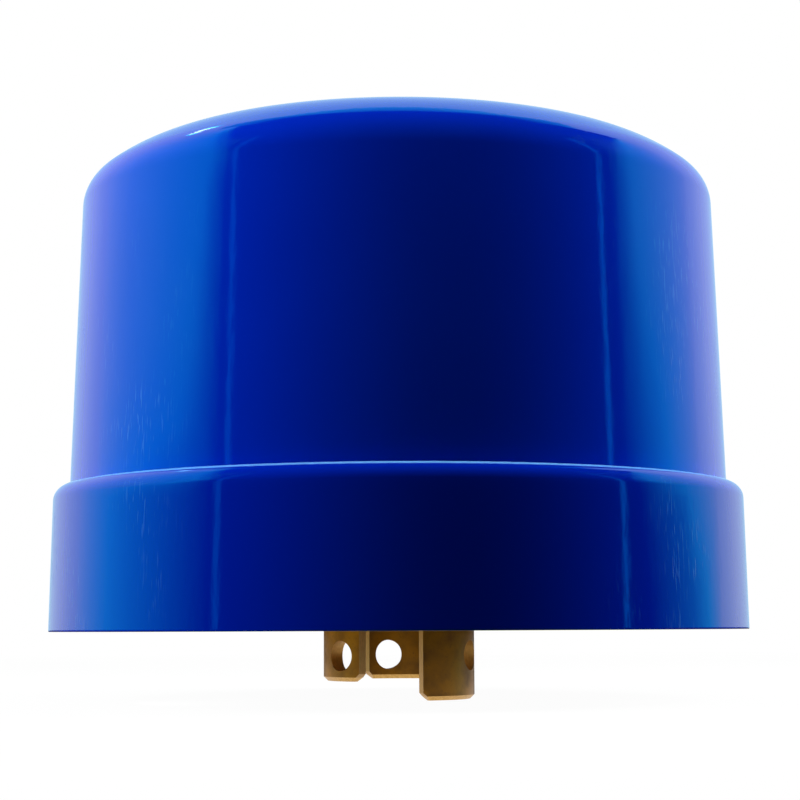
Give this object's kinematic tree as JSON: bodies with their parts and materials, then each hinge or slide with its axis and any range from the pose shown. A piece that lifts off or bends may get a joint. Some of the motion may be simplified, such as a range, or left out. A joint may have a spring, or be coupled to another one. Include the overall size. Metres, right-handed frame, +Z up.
{
  "type": "photocell switch",
  "caption": "Twist-lock photocell switch: a domed cover with a stepped skirt over a base with hooked brass blades, a foam gasket, a sensor window and a light-sensing relay circuit.",
  "frame": {"origin": "on the plug axis, in the plane of the skirt's open rim", "axes": "+Z up the plug axis to the crown, blades along -Z, the sensor window towards +Y"},
  "size_m": [0.084, 0.084, 0.0672],
  "materials": {
    "cover_blue": "glossy injection-moulded polycarbonate, saturated blue",
    "window_clear": "clear moulded polycarbonate",
    "base_black": "moulded black engineering plastic, fine satin texture",
    "gasket_foam": "closed-cell foam, matt charcoal",
    "blade_brass": "stamped brass, lightly tarnished",
    "screw_steel": "zinc-plated pan-head screws",
    "board_green": "glass-fibre board with green solder mask",
    "solder_tin": "bright solder",
    "relay_case": "moulded relay case",
    "film_case": "moulded capacitor box",
    "varistor_coat": "dipped lacquer",
    "can_sleeve": "shrunk sleeve over an aluminium can",
    "diode_black": "moulded epoxy",
    "zener_glass": "tinted glass bead",
    "resistor_grey": "cement-grey lacquer",
    "resistor_tan": "tan lacquer",
    "cell_ceramic": "ceramic disc with a light-sensitive track",
    "wire_tin": "tinned copper wire"
  },
  "bodies": {
    "root": {"cover": "cover_blue", "window": "window_clear", "base": "base_black", "gasket": "gasket_foam", "neutral_blade": "blade_brass", "line_blade": "blade_brass", "load_blade": "blade_brass", "cover_screws": "screw_steel", "circuit_board": "board_green", "board_screws": "screw_steel", "blade_solder": "solder_tin", "relay": "relay_case", "film_capacitor": "film_case", "varistor": "varistor_coat", "smoothing_capacitor": "can_sleeve", "timing_capacitor": "can_sleeve", "bridge_diodes": "diode_black", "zener_diode": "zener_glass", "freewheel_diode": "diode_black", "transistor": "diode_black", "power_resistor": "resistor_grey", "bias_resistors": "resistor_tan", "photocell": "cell_ceramic", "photocell_holder": "base_black", "photocell_leads": "wire_tin"}
  },
  "joints": []
}
